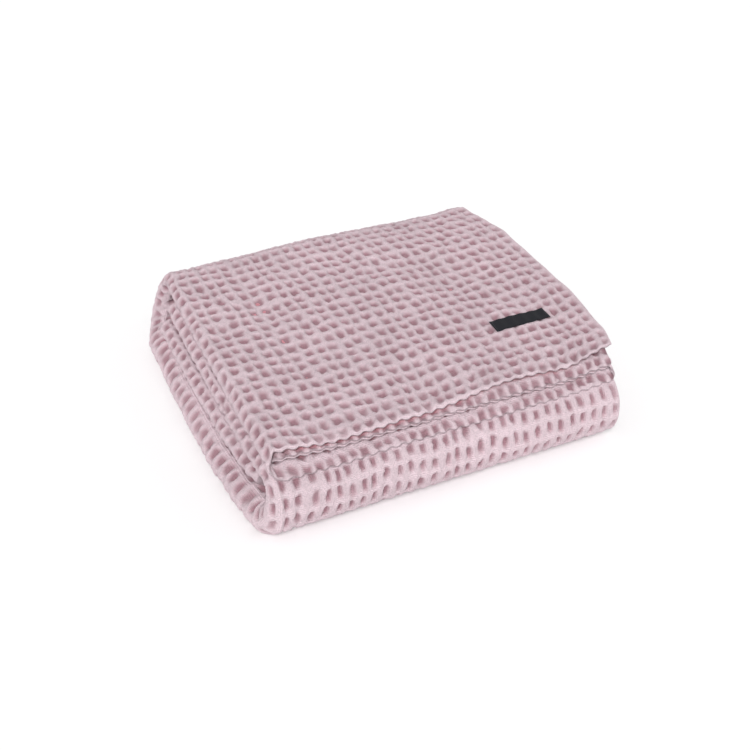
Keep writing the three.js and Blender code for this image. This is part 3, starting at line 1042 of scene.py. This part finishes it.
def build_stitches(sizes):
    """Short stitches that hold the label's two ends, as small lens shapes."""
    points, faces = [], []
    half = STITCH_HALF / sizes.stitches_an_end
    corners = range(STITCH_SIDES)
    for end in STITCH_ENDS:
        for stitch in range(sizes.stitches_an_end):
            across = (stitch + 0.5) / sizes.stitches_an_end
            first = len(points)
            for share in np.linspace(-1.0, 1.0, STITCH_RINGS):
                x, y, z = label_point(end, across + share * half, sizes.label_thickness, sizes)
                width = STITCH_SWELL * math.sqrt(max(0.0, 1.0 - share * share)) + STITCH_TIP
                for corner in corners:
                    angle = corner * 2.0 * math.pi / STITCH_SIDES
                    rise = STITCH_FLAT * width * math.sin(angle)
                    points.append((x + width * math.cos(angle), y, z + rise))
            for ring in range(STITCH_RINGS - 1):
                for corner in corners:
                    a = first + ring * STITCH_SIDES + corner
                    b = first + ring * STITCH_SIDES + (corner + 1) % STITCH_SIDES
                    faces.append((a, a + STITCH_SIDES, b + STITCH_SIDES, b))
            last = first + (STITCH_RINGS - 1) * STITCH_SIDES
            faces.append(tuple(first + corner for corner in corners))
            faces.append(tuple(last + corner for corner in reversed(corners)))
    return new_mesh("label_stitches", millimetres(np.array(points, dtype=float)), faces)


class BedspreadSizes(bpy.types.PropertyGroup):
    """Sizes a maker would change, in millimetres unless the description says cells."""

    cell_across: bpy.props.FloatProperty(
        name="Cell across", description="Waffle pitch along X, mm", default=12.5
    )
    cell_along: bpy.props.FloatProperty(
        name="Cell along", description="Waffle pitch along Y, mm", default=14.33
    )
    sheet_thickness: bpy.props.FloatProperty(
        name="Sheet", description="Thickness of the cloth, mm", default=3.6
    )
    backing: bpy.props.FloatProperty(name="Backing", description="Plain hidden skin, mm", default=2.5)
    shrunk: bpy.props.FloatProperty(name="Shrunk", description="Skin over an open gap, mm", default=0.9)
    deepest: bpy.props.FloatProperty(name="Deepest", description="Lowest pit floor, mm", default=-1.3)
    thinnest: bpy.props.FloatProperty(name="Thinnest", description="Cloth under a pit, mm", default=0.7)
    ridge_lift: bpy.props.FloatProperty(
        name="Ridge lift", description="Ridges above the sheet, mm", default=0.8
    )
    pit_depth: bpy.props.FloatProperty(
        name="Pit depth", description="Pits below the ridges, mm", default=3.6
    )
    pit_floor: bpy.props.FloatProperty(
        name="Pit floor", description="Flat part of a pit, share", default=0.3
    )
    pit_rim: bpy.props.FloatProperty(
        name="Pit rim", description="Where the slope ends, share", default=0.9
    )
    pit_shift: bpy.props.FloatProperty(
        name="Pit shift", description="Pits off centre, in cells", default=0.09
    )
    ridge_dip: bpy.props.FloatProperty(
        name="Ridge dip", description="Sag between crossings, mm", default=0.6
    )
    unevenness: bpy.props.FloatProperty(
        name="Unevenness", description="Pit depth change, share", default=0.16
    )
    ragged: bpy.props.FloatProperty(name="Ragged", description="Uneven pit rims, share", default=0.1)
    wander: bpy.props.FloatProperty(
        name="Wander", description="Ridges out of line, in cells", default=0.12
    )
    lumps: bpy.props.FloatProperty(
        name="Lumps", description="Loose yarns on the ridges, mm", default=0.38
    )
    edge_scallop: bpy.props.FloatProperty(
        name="Edge scallop", description="Wave of the cut edge, mm", default=0.9
    )
    edge_curl: bpy.props.FloatProperty(
        name="Edge curl", description="First ply's lifted edge, mm", default=1.5
    )
    inner_hem_relief: bpy.props.FloatProperty(
        name="Inner hem relief", description="Relief left at the inner skin's edge, share", default=0.9
    )
    hem_round: bpy.props.FloatProperty(
        name="Hem round", description="Rounded edge, in cells", default=0.2
    )
    hem_edge: bpy.props.FloatProperty(
        name="Hem edge", description="Half thickness at the edge, share", default=0.35
    )
    hem_relief: bpy.props.FloatProperty(
        name="Hem relief", description="Relief left at the edge, share", default=0.5
    )
    hem_fade: bpy.props.FloatProperty(
        name="Hem fade", description="Cells until the full relief", default=0.8
    )
    loft: bpy.props.FloatProperty(
        name="Loft", description="Soft unevenness of the stack, mm", default=0.7
    )
    # Painted shade between plies reaches its full strength this many cells in from the sides.
    dark_cells: bpy.props.FloatProperty(
        name="Dark after", description="Cells until a gap is dark", default=2.5
    )
    steps_a_row: bpy.props.IntProperty(
        name="Steps a row", description="Mesh rows a waffle cell", default=8
    )
    yarn_spacing: bpy.props.FloatProperty(
        name="Yarn spacing", description="Drawn yarn pitch, mm", default=1.25
    )
    yarn_share: bpy.props.FloatProperty(
        name="Yarn share", description="Yarns in the pile's bump", default=0.3
    )
    pile: bpy.props.FloatProperty(
        name="Pile", description="Height of the loose fibres, mm", default=1.3
    )
    fuzz_size: bpy.props.FloatProperty(
        name="Fuzz size", description="Width of fibre clumps, mm", default=1.6
    )
    patch_size: bpy.props.FloatProperty(
        name="Patch size", description="Width of worn patches, mm", default=70.0
    )
    label_x: bpy.props.FloatProperty(
        name="Label X", description="Centre from the corner, cells", default=23.65
    )
    label_y: bpy.props.FloatProperty(
        name="Label Y", description="Centre from the corner, cells", default=8.22
    )
    label_long: bpy.props.FloatProperty(name="Label length", description="Long side, mm", default=62.0)
    label_short: bpy.props.FloatProperty(name="Label width", description="Short side, mm", default=17.5)
    label_thickness: bpy.props.FloatProperty(
        name="Label thickness", description="Tape, mm", default=0.7
    )
    label_above: bpy.props.FloatProperty(
        name="Label above", description="Over the sheet, mm", default=1.2
    )
    label_turn: bpy.props.FloatProperty(
        name="Label turn", description="Turn about Z", default=0.012, subtype="ANGLE"
    )
    rib_spacing: bpy.props.FloatProperty(
        name="Rib spacing", description="Drawn rib pitch, mm", default=0.9
    )
    stitches_an_end: bpy.props.IntProperty(
        name="Stitches", description="Stitches at each end", default=7
    )


class BedspreadColours(bpy.types.PropertyGroup):
    """Colours as sRGB hex values."""

    ridge: bpy.props.StringProperty(name="Ridge", description="Cotton on the ridges", default="e3ced5")
    # Pit: painted shade, the darker and redder colour that the pits take in place of their shade.
    pit: bpy.props.StringProperty(name="Pit", description="Cotton deep in the pits", default="a8818a")
    # Between: painted reddish shade for the gaps between plies, where the light hardly reaches.
    between: bpy.props.StringProperty(
        name="Between", description="Cotton between plies", default="dd96a0"
    )
    label: bpy.props.StringProperty(name="Label", description="Label tape", default="15161b")
    label_rib: bpy.props.StringProperty(
        name="Label rib", description="Raised ribs of the tape", default="212228"
    )
    thread: bpy.props.StringProperty(name="Thread", description="Label stitches", default="3b3c42")
    floor: bpy.props.StringProperty(name="Floor", description="Painted board", default="fcfcfc")


class BEDSPREAD_OT_cloth(bpy.types.Operator):
    """Build the folded waffle cloth."""

    bl_idname = "bedspread.cloth"
    bl_label = "Folded cloth"

    def execute(self, context):
        sizes, colours = context.scene.bedspread_sizes, context.scene.bedspread_colours
        cotton = waffle_cotton(sizes, colours)
        for name, blocks in cloth_blocks(sizes).items():
            piece = finish_piece(sheet_mesh(name, blocks, sizes), cotton, "bedspread")
        return {"FINISHED"}


class BEDSPREAD_OT_label(bpy.types.Operator):
    """Build the sewn label."""

    bl_idname = "bedspread.label"
    bl_label = "Label"

    def execute(self, context):
        """Make the bare tape and its end stitches."""
        sizes, colours = context.scene.bedspread_sizes, context.scene.bedspread_colours
        tape = finish_piece(build_label(sizes), label_tape(sizes, colours), "label")
        stitches = finish_piece(build_stitches(sizes), sewing_thread(colours), "label")
        return {"FINISHED"}


def soft_light(name, kind, size, power, place, aim):
    """Soft lamp at a place, in metres, that faces its aim. size: width in metres, or a sun's angle."""
    lamp = bpy.data.lights.new(name, kind)
    lamp.energy = power
    if kind == "SUN":
        lamp.angle = size
    else:
        lamp.shape = "SQUARE"
        lamp.size = size
    shown = bpy.data.objects.new(name, lamp)
    bpy.context.scene.collection.objects.link(shown)
    shown.location = place
    turn_towards(shown, aim)


def turn_towards(thing, aim):
    """Turn a lamp or camera so that it looks at a point."""
    thing.rotation_mode = "QUATERNION"
    thing.rotation_quaternion = (Vector(aim) - thing.location).to_track_quat("-Z", "Y")


# Camera at the photo's angle: its place from the near corner in metres, and its backward direction
CAMERA_FROM_CORNER = Vector((-0.24913, -0.74802, 0.8438))
CAMERA_BACKWARDS = Vector((-0.31799, -0.70427, 0.63473))


class BEDSPREAD_OT_stage(bpy.types.Operator):
    """Build the pale floor, the soft lights and the camera."""

    bl_idname = "bedspread.stage"
    bl_label = "Stage"

    def execute(self, context):
        """Make the stage round the object."""
        scene = context.scene
        board = bpy.data.meshes.new("floor")
        reach = 6.0
        corners = [(-reach, -reach, 0), (reach, -reach, 0), (reach, reach, 0), (-reach, reach, 0)]
        board.from_pydata(corners, [], [(0, 1, 2, 3)])
        floor = bpy.data.objects.new("floor", board)
        floor.data.materials.append(pale_board(scene.bedspread_colours))
        scene.collection.objects.link(floor)
        middle = (0.0, 0.0, 0.04)
        sun_width = math.radians(20.0)
        soft_light("key", "SUN", size=sun_width, power=2.2, place=(-0.75, -1.5, 1.9), aim=middle)
        soft_light("fill", "AREA", size=1.4, power=2.0, place=(1.3, -0.9, 1.2), aim=middle)
        world = bpy.data.worlds.new("studio")
        world.use_nodes = True
        sky = world.node_tree.nodes["Background"]
        sky.inputs["Color"].default_value = (1.0, 1.0, 1.0, 1.0)
        sky.inputs["Strength"].default_value = 0.53
        scene.world = world
        scene.view_settings.view_transform = "Standard"
        lens = bpy.data.cameras.new("camera")
        lens.sensor_width = 36.0
        lens.lens = 59.18
        lens.clip_start, lens.clip_end = 0.05, 30.0
        camera = bpy.data.objects.new("camera", lens)
        scene.collection.objects.link(camera)
        corner = Vector((millimetres(CORNER_X), millimetres(CORNER_Y), 0.0))
        camera.location = corner + CAMERA_FROM_CORNER
        turn_towards(camera, camera.location - CAMERA_BACKWARDS)
        scene.camera = camera
        return {"FINISHED"}


class BEDSPREAD_PT_panel(bpy.types.Panel):
    """Sizes, colours and the buttons that build each piece."""

    bl_idname = "BEDSPREAD_PT_panel"
    bl_label = "Bedspread"
    bl_space_type = "VIEW_3D"
    bl_region_type = "UI"
    bl_category = "Bedspread"

    def draw(self, context):
        """List the settings and the operators."""
        for group in (context.scene.bedspread_sizes, context.scene.bedspread_colours):
            for name in group.bl_rna.properties.keys():
                if name not in ("rna_type", "name"):
                    self.layout.prop(group, name)
        for operator in OPERATORS:
            self.layout.operator(operator.bl_idname)


OPERATORS = (BEDSPREAD_OT_cloth, BEDSPREAD_OT_label, BEDSPREAD_OT_stage)
CLASSES = (BedspreadSizes, BedspreadColours, *OPERATORS, BEDSPREAD_PT_panel)


def register():
    """Register the classes and the scene's settings."""
    for made in CLASSES:
        bpy.utils.register_class(made)
    bpy.types.Scene.bedspread_sizes = bpy.props.PointerProperty(type=BedspreadSizes)
    bpy.types.Scene.bedspread_colours = bpy.props.PointerProperty(type=BedspreadColours)


def unregister():
    """Take the settings and the classes away again."""
    del bpy.types.Scene.bedspread_colours
    del bpy.types.Scene.bedspread_sizes
    for made in reversed(CLASSES):
        bpy.utils.unregister_class(made)


def main():
    """Build every piece and the stage."""
    register()
    bpy.ops.bedspread.cloth()
    bpy.ops.bedspread.label()
    bpy.ops.bedspread.stage()


if __name__ == "__main__":
    main()
